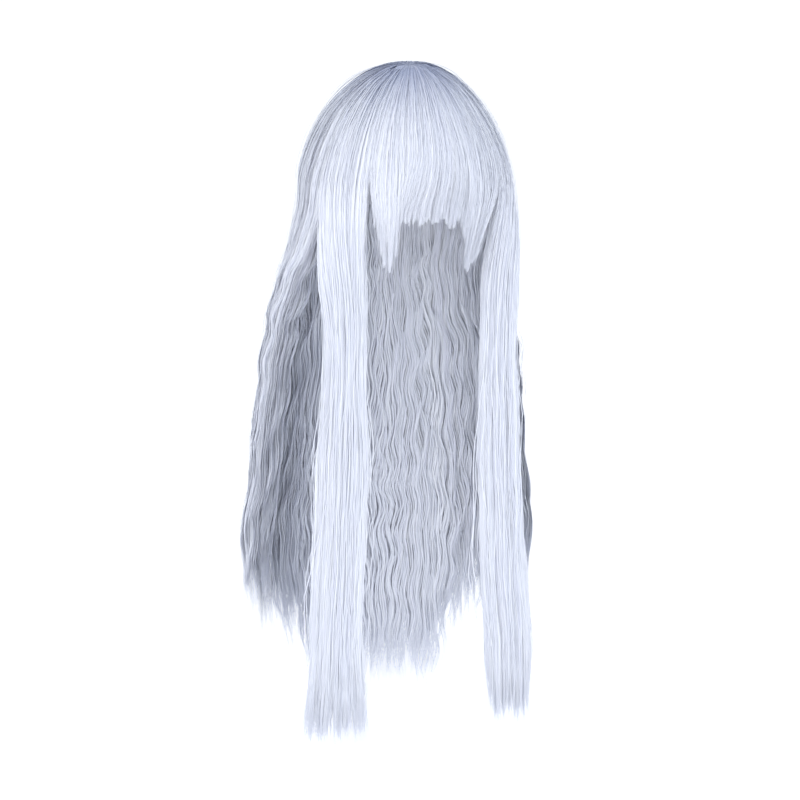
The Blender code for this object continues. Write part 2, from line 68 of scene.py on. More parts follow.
# ---------------------------------------------------------------- studio
# A white sweep under the tips, a broad soft key and a side light from the wearer's right, a
# weaker and cooler fill from the left, and the camera a little to the right and above.

CAMERA_BEARING = math.radians(-18.5)
CAMERA_DISTANCE, CAMERA_HEIGHT = 3.0, 0.46
AIM = (-0.005, 0.0, -0.345)
SENSOR, LENS = 36.0, 132.0
FLOOR_GAP, FLOOR_SIZE = 0.006, 60
LIGHTS_AIM = (0, 0, -0.25)


def deselect():
    for chosen in list(bpy.context.selected_objects):
        chosen.select_set(False)


deselect()
camera_data = bpy.data.cameras.new("camera")
camera = bpy.data.objects.new("camera", camera_data)
bpy.context.scene.collection.objects.link(camera)
camera.location = (
    math.sin(CAMERA_BEARING) * CAMERA_DISTANCE,
    -math.cos(CAMERA_BEARING) * CAMERA_DISTANCE,
    CAMERA_HEIGHT,
)
camera.rotation_euler = (Vector(AIM) - camera.location).to_track_quat("-Z", "Y").to_euler()
camera_data.sensor_width = SENSOR
camera_data.lens = LENS
camera_data.clip_end = 100
bpy.context.scene.camera = camera

floor_level = cad_box[0][2] - FLOOR_GAP
bpy.ops.mesh.primitive_plane_add(size=FLOOR_SIZE, location=(0, 0, floor_level))
floor = bpy.context.active_object
floor.name = "studio_floor"
floor_paint = bpy.data.materials.new("floor_paint")
floor_paint.use_nodes = True
floor_shader = floor_paint.node_tree.nodes["Principled BSDF"]
floor_shader.inputs["Base Color"].default_value = (0.9, 0.9, 0.91, 1)
floor_shader.inputs["Roughness"].default_value = 0.8
floor_shader.inputs["Emission Color"].default_value = (1.0, 1.0, 1.0, 1)
floor_shader.inputs["Emission Strength"].default_value = 0.45
floor.data.materials.append(floor_paint)


def soft_light(name, spot, size, power, tint):
    """A square soft box at a spot, turned to the wig."""
    lamp = bpy.data.lights.new(name, "AREA")
    lamp.shape = "RECTANGLE"
    lamp.size = lamp.size_y = size
    lamp.energy = power
    lamp.color = tint
    holder = bpy.data.objects.new(name, lamp)
    bpy.context.scene.collection.objects.link(holder)
    holder.location = spot
    aim = Vector(LIGHTS_AIM) - holder.location
    holder.rotation_euler = aim.to_track_quat("-Z", "Y").to_euler()


soft_light("key", (-1.3, -3.1, 0.2), size=2.4, power=30, tint=(1.0, 0.988, 0.968))
soft_light("side", (-2.2, -1.4, 2.2), size=2.0, power=32, tint=(1.0, 0.99, 0.975))
soft_light("fill", (1.9, -2.8, 0.1), size=2.4, power=17, tint=(0.84, 0.92, 1.0))
world = bpy.data.worlds.new("studio")
world.use_nodes = True
world.node_tree.nodes["Background"].inputs["Color"].default_value = (0.89, 0.935, 1.0, 1)
world.node_tree.nodes["Background"].inputs["Strength"].default_value = 0.74
bpy.context.scene.world = world
bpy.context.scene.view_settings.view_transform = "Standard"


# ---------------------------------------------------------------- edge bands and ribbons
# The sewn rim of the cap: soft lace cloth over the forehead, woven elastic round the sides and
# nape, and five elastic ribbons that carry the rows of weft. Overlocked with pale thread.

HEAD_WIDTH, HEAD_DEPTH, HEAD_RISE = 0.077, 0.097, 0.105
FRONT_EDGE, NAPE_EDGE, BAND_HEIGHT = -0.055, -0.150, 0.018
TURN = 2 * math.pi


class Channel:
    """One output of a finish's nodes. Arithmetic on it adds Math nodes."""

    def __init__(self, finish, socket):
        self.finish = finish
        self.socket = socket

    def math(self, operation, *others):
        return self.finish.maths(operation, self, *others)

    def __add__(self, other):
        return self.math("ADD", other)

    def __sub__(self, other):
        return self.math("SUBTRACT", other)

    def __mul__(self, other):
        return self.math("MULTIPLY", other)

    def __truediv__(self, other):
        return self.math("DIVIDE", other)

    def __rsub__(self, other):
        return self.finish.maths("SUBTRACT", other, self)

    __radd__ = __add__
    __rmul__ = __mul__

    def clamped(self):
        return self.math("MAXIMUM", 0.0).math("MINIMUM", 1.0)


class Finish:
    """A material and the nodes that make it."""

    def __init__(self, name):
        self.material = bpy.data.materials.new(name)
        self.material.use_nodes = True
        self.nodes = self.material.node_tree.nodes
        self.links = self.material.node_tree.links
        self.shader = self.nodes["Principled BSDF"]

    def add(self, kind, settings, sockets):
        """Adds a node of a kind, sets it, joins or fills its sockets, and gives its outputs."""
        node = self.nodes.new(kind)
        for name, value in settings.items():
            setattr(node, name, value)
        for name, value in sockets.items():
            if isinstance(value, Channel):
                self.links.new(value.socket, node.inputs[name])
            else:
                node.inputs[name].default_value = value
        return {output.name: Channel(self, output) for output in node.outputs if output.enabled}

    def maths(self, operation, *values):
        sockets = dict(enumerate(values))
        return self.add("ShaderNodeMath", {"operation": operation}, sockets)["Value"]

    def mix(self, share, first, second):
        """Colour between two, each a channel or red, green and blue."""
        colours = [c if isinstance(c, Channel) else (*c, 1.0) for c in (first, second)]
        sockets = {0: share, 6: colours[0], 7: colours[1]}
        return self.add("ShaderNodeMix", {"data_type": "RGBA"}, sockets)["Result"]

    def noise(self, place, scale, detail):
        sockets = {"Vector": place, "Scale": scale, "Detail": detail}
        return self.add("ShaderNodeTexNoise", {}, sockets)["Fac"]

    def object_place(self):
        return self.add("ShaderNodeTexCoord", {}, {})["Object"]

    def axes(self, place):
        return self.add("ShaderNodeSeparateXYZ", {}, {"Vector": place})

    def surface(self, colour, roughness, height=None, rise=0.0004):
        """Joins colour and roughness to the shader, and a height in metres through a Bump."""
        self.links.new(colour.socket, self.shader.inputs["Base Color"])
        if isinstance(roughness, Channel):
            self.links.new(roughness.socket, self.shader.inputs["Roughness"])
        else:
            self.shader.inputs["Roughness"].default_value = roughness
        if height is not None:
            bump = self.add("ShaderNodeBump", {}, {"Height": height, "Distance": rise})["Normal"]
            self.links.new(bump.socket, self.shader.inputs["Normal"])


def woven_finish(name, light, dark, pitches, roughness, rise):
    """Cloth woven round the head: threads at one pitch round it and at another up it."""
    finish = Finish(name)
    place = finish.object_place()
    parts = finish.axes(place)
    bearing = finish.maths("ARCTAN2", parts["X"], parts["Y"])
    across = (bearing * (HEAD_WIDTH * TURN / pitches[0])).math("SINE")
    up = (parts["Z"] * (TURN / pitches[1])).math("SINE")
    weave = across * up * 0.5 + 0.5
    fuzz = finish.noise(place, 850.0, 4.0)
    wear = finish.noise(place, 45.0, 3.0)
    colour = finish.mix((weave * 0.5 + fuzz * 0.4 + wear * 0.2).clamped(), dark, light)
    finish.surface(colour, fuzz * 0.15 + roughness, weave + fuzz * 0.35, rise)
    return finish.material


def refinish(material, *nodes):
    """Gives carried-over solids a finish of their own."""
    for node in nodes:
        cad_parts[node].material_slots[0].material = material


lace_finish = woven_finish(
    "lace", light=(0.84, 0.85, 0.89), dark=(0.56, 0.58, 0.66), pitches=(0.0014, 0.0014),
    roughness=0.66, rise=0.00025,
)
elastic_finish = woven_finish(
    "elastic", light=(0.80, 0.81, 0.86), dark=(0.50, 0.52, 0.60), pitches=(0.0030, 0.0011),
    roughness=0.60, rise=0.0003,
)
refinish(lace_finish, "front_band")
refinish(elastic_finish, "side_band_left", "side_band_right", "nape_band")
refinish(elastic_finish, *(f"back_ribbon_{number}" for number in range(1, 6)))


def on_head(bearing, height, stand_off):
    """Point over the head at a bearing, a height above the cap's edge and a distance off it."""
    middle = (FRONT_EDGE + NAPE_EDGE) / 2
    swing = (FRONT_EDGE - NAPE_EDGE) / 2
    sine = (middle + swing * math.cos(bearing) + height + HEAD_RISE) / HEAD_RISE
    level = math.sqrt(1.0 - sine * sine)
    return Vector((
        math.sin(bearing) * level * (HEAD_WIDTH + stand_off),
        -math.cos(bearing) * level * (HEAD_DEPTH + stand_off),
        sine * (HEAD_RISE + stand_off) - HEAD_RISE,
    ))


def thread_finish(name, light, dark):
    """Twisted thread: fine plies across it, and a little fuzz."""
    finish = Finish(name)
    place = finish.object_place()
    parts = finish.axes(place)
    ply = ((parts["X"] + parts["Y"] + parts["Z"]) * 9000.0).math("SINE") * 0.5 + 0.5
    fuzz = finish.noise(place, 600.0, 2.0)
    colour = finish.mix(ply * 0.6 + fuzz * 0.4, dark, light)
    finish.surface(colour, fuzz * 0.2 + 0.45, ply, 0.00005)
    return finish.material


STITCH_PITCH, STITCH_LENGTH, STITCH_SIZE = 0.0042, 0.0030, 0.00045
SEAM_LENGTH, SEAM_INSET = 0.53, 0.0022
STITCH_STAND_OFF, STITCH_LEAN = 0.0010, 0.0004

# One stitch is a short thread drawn out to a point at each end where it enters the cloth.
deselect()
bpy.ops.mesh.primitive_uv_sphere_add(segments=6, ring_count=5, radius=0.5)
bpy.ops.object.shade_smooth()
first_stitch = bpy.context.active_object
bpy.ops.object.mode_set(mode="EDIT")
bpy.ops.mesh.select_all(action="SELECT")
bpy.ops.transform.resize(value=(STITCH_SIZE, STITCH_SIZE, STITCH_LENGTH))
bpy.ops.object.mode_set(mode="OBJECT")

# Two rows of it follow the band's edges, every other stitch leaning up and the rest down.
per_row = int(SEAM_LENGTH / STITCH_PITCH)
for row, height in enumerate((SEAM_INSET, BAND_HEIGHT - SEAM_INSET)):
    for number in range(per_row):
        bearing = TURN * (number + 0.5 * row) / per_row
        lean = STITCH_LEAN if number % 2 else -STITCH_LEAN
        spot = on_head(bearing, height, STITCH_STAND_OFF)
        ahead = on_head(bearing + 0.01, height + lean, STITCH_STAND_OFF)
        stitch = first_stitch
        if row or number:
            stitch = first_stitch.copy()
            stitch.data = first_stitch.data.copy()
            bpy.context.scene.collection.objects.link(stitch)
        stitch.location = spot
        stitch.rotation_mode = "QUATERNION"
        stitch.rotation_quaternion = (ahead - spot).to_track_quat("Z", "Y")
        stitch.select_set(True)
bpy.context.view_layer.objects.active = first_stitch
bpy.ops.object.join()
band_stitches = bpy.context.active_object
bpy.ops.object.transform_apply(location=True, rotation=True, scale=True)
band_stitches.name = "band_stitches"
band_stitches.data.materials.append(
    thread_finish("thread", light=(0.90, 0.91, 0.95), dark=(0.60, 0.62, 0.72))
)
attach(band_stitches, "cap")
deselect()


# ---------------------------------------------------------------- net and crown patch
# Rose net over the top of the cap, knotted in open cells so that the head breathes, and the
# skin-coloured patch at the whorl. The net is sewn over the forehead band and the ribbons.

NET_STAND_OFF = 0.0017
NET_FRONT, NET_BACK = 0.56, 0.22
NET_CELL_SHARE = 33.0
NET_THREAD = 0.00042

# Cutting the corners of a fine ball's triangles off leaves a net of six-sided cells. It is cut
# along a rim that drops from the front to the back, in shares of the head's rise.
bpy.ops.mesh.primitive_ico_sphere_add(subdivisions=5, radius=1.0)
net = bpy.context.active_object
net.name = "crown_rose_net"
bpy.ops.object.mode_set(mode="EDIT")
bpy.ops.mesh.select_all(action="SELECT")
bpy.ops.mesh.bevel(
    affect="VERTICES", offset_type="PERCENT", offset_pct=NET_CELL_SHARE, segments=1, offset=0.0
)
bpy.ops.mesh.select_all(action="SELECT")
bpy.ops.mesh.bisect(
    plane_co=(0, 0, (NET_FRONT + NET_BACK) / 2), plane_no=(0, (NET_FRONT - NET_BACK) / 2, 1),
    clear_inner=True, use_fill=False,
)
bpy.ops.object.mode_set(mode="OBJECT")
net.scale = (HEAD_WIDTH + NET_STAND_OFF, HEAD_DEPTH + NET_STAND_OFF, HEAD_RISE + NET_STAND_OFF)
net.location = (0, 0, -HEAD_RISE)
bpy.ops.object.transform_apply(location=True, rotation=True, scale=True)
cells = net.modifiers.new("cells", "WIREFRAME")
cells.thickness = NET_THREAD
cells.use_even_offset = False
cells.use_boundary = True
bpy.ops.object.modifier_apply(modifier=cells.name)
net.data.materials.append(
    thread_finish("net_thread", light=(0.80, 0.81, 0.87), dark=(0.50, 0.52, 0.62))
)
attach(net, "cap")
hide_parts("crown_net")
deselect()


def knotted_finish(name, skin, knot):
    """Thin skin-like sheet with the small dark knots of the hair tied through it."""
    finish = Finish(name)
    place = finish.object_place()
    cloud = finish.noise(place, 120.0, 4.0)
    spot = finish.add("ShaderNodeTexVoronoi", {}, {"Vector": place, "Scale": 620.0})["Distance"]
    dot = 1.0 - (spot * 2.6).math("MINIMUM", 1.0)
    colour = finish.mix(dot * 0.8 + cloud * 0.2, skin, knot)
    finish.surface(colour, cloud * 0.2 + 0.45, dot, 0.0002)
    return finish.material


skin_finish = knotted_finish("skin_patch", skin=(0.86, 0.80, 0.78), knot=(0.60, 0.62, 0.74))
refinish(skin_finish, "crown_patch")


# ---------------------------------------------------------------- weft tracks
# The folded heads of the wefts, machine-stitched in three close rows: six across the back, two
# rings on the crown, one over the brow and one at each temple.

ZIGZAG_LENGTH, ZIGZAG_HEIGHT = 0.0024, 0.0026


def track_finish(name, light, dark):
    """Folded fibre with pale zigzag lines of machine stitching along it."""
    finish = Finish(name)
    place = finish.object_place()
    parts = finish.axes(place)
    round_head = finish.maths("ARCTAN2", parts["X"], parts["Y"]) * HEAD_WIDTH
    saw = (round_head / ZIGZAG_LENGTH).math("FRACT")
    zigzag = (saw - 0.5).math("ABSOLUTE") * 2.0
    rise = (parts["Z"] / ZIGZAG_HEIGHT).math("FRACT")
    line = 1.0 - ((zigzag - rise).math("ABSOLUTE") * 4.0).math("MINIMUM", 1.0)
    fibre = finish.noise(place, 1400.0, 3.0)
    colour = finish.mix(line * 0.75 + fibre * 0.3, dark, light)
    finish.surface(colour, fibre * 0.2 + 0.5, line, 0.0004)
    return finish.material


weft_finish = track_finish("weft_stitching", light=(0.90, 0.91, 0.95), dark=(0.55, 0.58, 0.72))
refinish(weft_finish, *(f"back_track_{number}" for number in range(1, 7)))
refinish(weft_finish, "crown_track_1", "crown_track_2", "fringe_track")
refinish(weft_finish, "side_track_left", "side_track_right")


# ---------------------------------------------------------------- ear tabs and adjusters
# Padded cloth tabs with a plastic stay in front of the ears, and at the nape the two hooked
# elastic straps, the sleeves they run in and the tapes of loops they hook into.


def moulded_finish(name, light, dark):
    """Milky plastic with a fine moulded grain."""
    finish = Finish(name)
    place = finish.object_place()
    grain = finish.noise(place, 2200.0, 2.0)
    cloud = finish.noise(place, 160.0, 3.0)
    finish.surface(finish.mix(cloud, dark, light), grain * 0.16 + 0.24, grain, 0.00004)
    return finish.material


plastic_finish = moulded_finish(
    "moulded_plastic", light=(0.88, 0.89, 0.92), dark=(0.74, 0.76, 0.80)
)
for side in ("left", "right"):
    refinish(lace_finish, "ear_tab_" + side)
    refinish(plastic_finish, "ear_stay_" + side, "strap_hook_" + side)
    refinish(elastic_finish, "strap_" + side, "strap_keeper_" + side, "loop_tape_" + side)


# ---------------------------------------------------------------- fringe
# The short hair over the brow, sewn to the top of the cap. Synthetic fibre, heat-set straight,
# cut ragged so that it ends in points, with longer wisps beside the cheeks.

HEAD_LEVEL = -HEAD_RISE
OVER_CROWN = math.pi / 2 * 0.118
CROWN_SLOPE = 0.24
CROWN_FLAT = (0.035, 0.028, 0.017)
WHORL_ASIDE, WHORL_SINK = 0.006, 0.004
CROWN_SIDE, CROWN_END, crown_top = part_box("crown_hair_left")[1]
CROWN_RISE = crown_top - HEAD_LEVEL
TIP_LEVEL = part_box("front_lock_left")[0].z
NOISE_STEPS, NOISE_SIDE = 4096, 256


def ease(share):
    """Smooth step from 0 to 1."""
    share = np.clip(share, 0.0, 1.0)
    return share * share * (3.0 - 2.0 * share)


def between(start, end, share):
    return start + (end - start) * share


def unit(vectors):
    return vectors / np.maximum(np.linalg.norm(vectors, axis=-1, keepdims=True), 1e-9)


def ripple(at, seed):
    """Smooth noise from -1 to 1 along a number."""
    table = np.random.default_rng(seed).uniform(-1.0, 1.0, NOISE_STEPS)
    whole = np.floor(at).astype(int)
    return between(table[whole % NOISE_STEPS], table[(whole + 1) % NOISE_STEPS], ease(at - whole))


def drift(across, along, seed):
    """Smooth noise from -1 to 1 over two numbers."""
    table = np.random.default_rng(seed).uniform(-1.0, 1.0, (NOISE_SIDE, NOISE_SIDE))
    i, j = np.floor(across).astype(int), np.floor(along).astype(int)
    p, q = ease(across - i), ease(along - j)
    this_i, next_i = i % NOISE_SIDE, (i + 1) % NOISE_SIDE
    this_j, next_j = j % NOISE_SIDE, (j + 1) % NOISE_SIDE
    near = between(table[this_i, this_j], table[next_i, this_j], p)
    far = between(table[this_i, next_j], table[next_i, next_j], p)
    return between(near, far, q)


def clumps(at, pitch, seed):
    """Number and middle of the clump that each bearing falls in, for clumps of one pitch."""
    table = np.random.default_rng(seed).uniform(-0.38, 0.38, NOISE_STEPS)
    cell = np.floor(at / pitch).astype(int)[None] + np.arange(-1, 2)[:, None]
    middle = (cell + 0.5 + table[cell % NOISE_STEPS]) * pitch
    nearest = np.abs(middle - at).argmin(0), np.arange(len(at))
    return cell[nearest] % NOISE_STEPS, middle[nearest]


def per_clump(number, seed, low, high):
    """The random value that all fibres of one clump share."""
    return np.random.default_rng(seed).uniform(low, high, NOISE_STEPS)[number]


def over_crown(bearing, run, inset):
    """Point at a bearing round the whorl, a run of hair down from it, and a depth under the skin.

    The crown is an ellipsoid, a little flatter halfway down, and the hair hangs from its rim.
    """
    rise = np.clip(1.0 - run / OVER_CROWN, 0.0, 1.0) * math.pi / 2
    sunk = WHORL_SINK * np.exp(-((run / 0.012) ** 2))
    depth = inset * (0.45 + 0.55 * ease(run / 0.06)) + sunk
    slope = CROWN_SLOPE * np.sin(2 * rise)
    level = np.cos(rise)
    side, end, top = (
        size - flat * slope - depth
        for size, flat in zip((CROWN_SIDE, CROWN_END, CROWN_RISE), CROWN_FLAT)
    )
    return np.stack([
        np.sin(bearing) * level * side + WHORL_ASIDE * np.sin(rise) ** 4,
        -np.cos(bearing) * level * end,
        HEAD_LEVEL + np.sin(rise) * top - np.maximum(run - OVER_CROWN, 0.0),
    ], -1)


def run_to(height):
    """Run of hair from the whorl down to a height below the head's middle."""
    return OVER_CROWN + HEAD_LEVEL - height


LONGEST_RUN = run_to(TIP_LEVEL)
TINTS = 128
MAP_HEIGHT = 0.94
ROUND_LOOK = 0.30


def new_piece(name, points, quads, places, normals=None):
    """A mesh object from its corners, four-sided faces and one map place for each corner."""
    mesh = bpy.data.meshes.new(name)
    mesh.vertices.add(len(points))
    mesh.vertices.foreach_set("co", points.astype(np.float32).ravel())
    mesh.loops.add(quads.size)
    mesh.loops.foreach_set("vertex_index", quads.ravel().astype(np.int32))
    mesh.polygons.add(len(quads))
    mesh.polygons.foreach_set("loop_start", np.arange(0, quads.size, 4, dtype=np.int32))
    mesh.update(calc_edges=True)
    layer = mesh.uv_layers.new(name="OFBake")
    layer.data.foreach_set("uv", places[quads.ravel()].astype(np.float32).ravel())
    mesh.polygons.foreach_set("use_smooth", np.ones(len(quads), bool))
    if normals is not None:
        mesh.normals_split_custom_set_from_vertices(normals.astype(np.float32))
    piece = bpy.data.objects.new(name, mesh)
    bpy.context.scene.collection.objects.link(piece)
    return piece


def frame_of(hang, bearing, run, depth):
    """Points of hair, and the directions out of its surface and sideways along it."""
    point = hang(bearing, run, depth)
    outward = unit(hang(bearing, run, depth - 0.003) - point)
    lateral = unit(np.cross(unit(np.gradient(point, axis=1)), outward))
    return point, outward, lateral


def crimp(point, outward, lateral, bearing, run, wave, late, strength=1.0):
    """Sets waves of one height and length into hair below the crown, sideways and outwards."""
    height, length = wave
    swell = ease((run - OVER_CROWN * 0.8) / 0.20) * strength
    beat = TURN * run / length + 3.4 * drift(bearing / 0.13, run / 0.12, 18) + late
    point = point + lateral * (height * swell * np.sin(beat))[..., None]
    return point + outward * (height * 0.55 * swell * np.sin(beat + 1.9))[..., None]


def fibre_mesh(name, paths, outward, widths, runs, tints, twist):
    """Flat tapered fibres along their paths, with normals that shade them as if round."""
    count, steps, _ = paths.shape
    along = unit(np.gradient(paths, axis=1))
    across = unit(np.cross(along, outward))
    facing = unit(np.cross(across, along))
    turn = twist[..., None]
    side = across * np.cos(turn) + facing * np.sin(turn)
    face = unit(facing * np.cos(turn) - across * np.sin(turn) + outward)
    half = side * widths[..., None] / 2
    points = np.stack([paths - half, paths + half], 2).reshape(-1, 3)
    lean = side * ROUND_LOOK
    normals = np.stack([unit(face - lean), unit(face + lean)], 2).reshape(-1, 3)
    first = (np.arange(count)[:, None] * steps + np.arange(steps - 1)[None, :]) * 2
    quads = np.stack([first, first + 1, first + 3, first + 2], -1).reshape(-1, 4)
    column = (tints[:, None, None] + np.array([0.15, 0.85])) / TINTS
    column = np.broadcast_to(column, (count, steps, 2))
    share = (runs / LONGEST_RUN * MAP_HEIGHT)[..., None]
    share = np.broadcast_to(share, (count, steps, 2))
    return new_piece(name, points, quads, np.stack([column, share], -1).reshape(-1, 2), normals)


def gather(bearing, layer, gathers, seed):
    """Draws fibres into clumps of several pitches, each given as pitch, pull and depth.

    Gives each fibre's turn and push inwards, and, for every pitch, the number of its clump and
    how far off the clump's middle it is.
    """
    turn, push = np.zeros(len(bearing)), np.zeros(len(bearing))
    numbers, offsets = [], []
    for level, (pitch, pull, depth) in enumerate(gathers):
        number, middle = clumps(bearing, pitch, seed % 7 + level * 10)
        number = (number + layer.astype(int) * 37) % NOISE_STEPS
        offset = middle - bearing
        turn += pull * (offset - turn)
        push += per_clump(number, level + 3, -depth, depth)
        push += depth * 0.4 * (offset / pitch * 2) ** 2
        numbers.append(number)
        offsets.append(offset)
    return turn, push, numbers, offsets


# The depth and turn between layers that clump apart; the shares of fibres in the inner layer and
# at the whorl; the runs over which clumps and fibres come to a point; and how far fibres sway
# together, wander alone, stray, lift, sink at the root and frizz.
LAYER_DEPTH, LAYER_TURN = 0.004, 0.013
INNER_SHARE = 0.38
EDGE_REACH = 0.20
WHORL_SHARE, WHORL_RUN = 0.15, 0.012
POINT_RUN, TAPER_RUN = 0.05, 0.10
SWAY, WANDER, STRAY, STRAY_LIFT = 0.012, 0.010, 0.06, 0.006
ROOT_DEPTH, ROOT_RUN = 0.006, 0.012
FRIZZ = 0.0004


def lay_fibres(name, count, seed, steps, width, span, hang, tip_run, insets, gathers, ramp,
               ragged, wave=None, sweep=None, stray=0.03, pinch=0.55, loose_end=None):
    """Lays fibres over a span of bearings, in degrees, from the crown to their tips.

    hang turns a bearing, run and depth into a point, and tip_run gives where a bearing's hair
    ends. insets are the depths of the outer layer and, with four, of an inner one; a loose_end
    fills the depths between them at that bearing. Clumps draw in over the ramp of run. ragged
    is the unevenness of the tips and pinch how far clumps end in points.
    """
    rng = np.random.default_rng(seed)
    bearing = rng.uniform(math.radians(span[0]), math.radians(span[1]), count)
    inset = between(insets[0], insets[1], rng.beta(1.0, 1.5, count))
    if len(insets) == 4:
        inner = rng.uniform(0, 1, count) < INNER_SHARE
        inset = np.where(inner, rng.uniform(insets[2], insets[3], count), inset)
    if loose_end is not None:
        near_end = ease(1.0 - np.abs(bearing - math.radians(loose_end)) / EDGE_REACH)
        edge = rng.uniform(0, 1, count) < near_end
        inset = np.where(edge, rng.uniform(insets[0], insets[-1], count), inset)

    # Each layer clumps apart from the next, and each clump ends at its own length.
    layer = np.round(inset / LAYER_DEPTH)
    shifted = bearing + layer * LAYER_TURN
    turn, push, numbers, offsets = gather(shifted, layer, gathers, seed)
    tuft, lock = numbers[-1], numbers[1]
    ragged_by = per_clump(tuft, 91, -ragged, ragged) + per_clump(lock, 92, -ragged, ragged)
    tip = tip_run(bearing) + ragged_by - rng.exponential(ragged * 0.8, count)
    tip = np.minimum(tip, LONGEST_RUN + 0.004 - rng.uniform(0, 0.02, count))
    root = OVER_CROWN * 2 / math.pi * np.arcsin(rng.uniform(0, 0.92, count))
    at_whorl = rng.uniform(0, 1, count) < WHORL_SHARE
    root = np.where(at_whorl, rng.uniform(0, WHORL_RUN, count), root)
    root = root + rng.uniform(0.002, 0.004, count)

    # From here on each row is a fibre and each column a step down it.
    root, tip, drawn = root[:, None], tip[:, None], shifted[:, None]
    run = root + (tip - root) * np.linspace(0, 1, steps)[None]
    down = ease((run - ramp[0]) / (ramp[1] - ramp[0]))
    at = bearing[:, None] + turn[:, None] * down
    to_tip = ease((run - tip_run(bearing)[:, None]) / POINT_RUN + 1.0)
    at = at + pinch * offsets[1][:, None] * to_tip
    at = at + SWAY * drift(drawn / 0.03 + layer[:, None] * 9, run / 0.07, seed) * down
    pace, start = rng.uniform(0.025, 0.07, count)[:, None], rng.uniform(0, 256, count)[:, None]
    at = at + WANDER * drift(start, run / pace, seed + 9) * ease(run / 0.12)
    if sweep is not None:
        at = at + sweep(bearing)[:, None] * ease((run - 0.13) / (tip - 0.13)) ** 1.4
    loose = (rng.uniform(0, 1, count) < stray)[:, None]
    at = at + loose * STRAY * drift(drawn / 0.001, run / 0.12, seed + 5) * down
    lifted = loose * STRAY_LIFT * rng.uniform(0, 1, count)[:, None] * ease(run / 0.08)
    rooted = ROOT_DEPTH * np.exp(-(run - root) / ROOT_RUN)
    depth = inset[:, None] + push[:, None] * down + rooted - lifted
    point, outward, lateral = frame_of(hang, at, run, depth)

    own = rng.uniform(0, TURN, count)[:, None]
    if wave:
        strength = 0.75 + 0.35 * drift(drawn / 0.16, run / 0.10, 17)
        late = layer[:, None] * 0.8 + per_clump(lock, 19, -0.5, 0.5)[:, None]
        point = crimp(point, outward, lateral, drawn, run, wave, late, strength)
    frizz = FRIZZ * np.sin(TURN * run / rng.uniform(0.016, 0.034, count)[:, None] + own)
    frizz = frizz * ease(run / 0.1)
    point = point + lateral * frizz[..., None]

    share = (run - root) / (tip - root)
    taper = 0.12 + 0.88 * ease((1.0 - share) * (tip - root) / TAPER_RUN)
    thinner_root = 0.4 + 0.6 * ease(share / 0.05)
    widths = width * rng.uniform(0.6, 1.35, count)[:, None] * taper * thinner_root
    twist = rng.normal(0, 0.14, count)[:, None] + 0.12 * np.sin(run * 45 + own)
    tints = per_clump(tuft, 55, 0, TINTS) + rng.normal(0, 22, count)
    return fibre_mesh(name, point, outward, widths, run, tints.astype(int) % TINTS, twist)


def lay_mass(name, span, hang, tip_run, insets, columns, rows, wave=None):
    """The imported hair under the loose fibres: one closed body that follows the same fall."""
    bearing = np.radians(np.linspace(span[0], span[1], columns))[:, None]
    tip = tip_run(bearing[:, 0])[:, None]
    run = 0.002 + (tip - 0.002) * np.linspace(0, 1, rows)[None]
    at = bearing + 0 * run
    thin = ease((tip - run) / TAPER_RUN)
    middle = (insets[0] + insets[1]) / 2
    walls = []
    for wall, inset in enumerate(insets):
        groove = 0.0007 * drift(bearing / 0.012, run / 0.08, 5 + wall)
        depth = between(middle, inset, 0.15 + 0.85 * thin) + groove
        point, outward, lateral = frame_of(hang, at, run, depth)
        if wave:
            point = crimp(point, outward, lateral, bearing, run, wave, 1.6)
        walls.append(point)
    points = np.stack(walls).reshape(-1, 3)
    outer, inner = np.arange(2 * columns * rows).reshape(2, columns, rows)

    def faces(*corners):
        return np.stack(corners, -1).reshape(-1, 4)

    quads = np.concatenate([
        faces(outer[:-1, :-1], outer[:-1, 1:], outer[1:, 1:], outer[1:, :-1]),
        faces(inner[:-1, :-1], inner[1:, :-1], inner[1:, 1:], inner[:-1, 1:]),
        faces(outer[:-1, 0], outer[1:, 0], inner[1:, 0], inner[:-1, 0]),
        faces(outer[:-1, -1], inner[:-1, -1], inner[1:, -1], outer[1:, -1]),
        faces(outer[0, :-1], inner[0, :-1], inner[0, 1:], outer[0, 1:]),
        faces(outer[-1, :-1], outer[-1, 1:], inner[-1, 1:], inner[-1, :-1]),
    ])
    spread = np.broadcast_to(np.linspace(0, 1, columns)[:, None], (columns, rows))
    share = np.broadcast_to(run / LONGEST_RUN * MAP_HEIGHT, (columns, rows))
    places = np.stack([np.stack([spread * 0.5 + wall * 0.5, share], -1) for wall in (0, 1)])
    return new_piece(name, points, quads, places.reshape(-1, 2))


# The dark end of the fibres' random tints, and also the painted shade that the roots darken to.
ROOT_SHADE_AND_DEEP_TONE = (0.43, 0.48, 0.65)
PALE_SHADE = (0.885, 0.905, 0.955)
VIOLET_SHADE = (0.74, 0.75, 0.89)


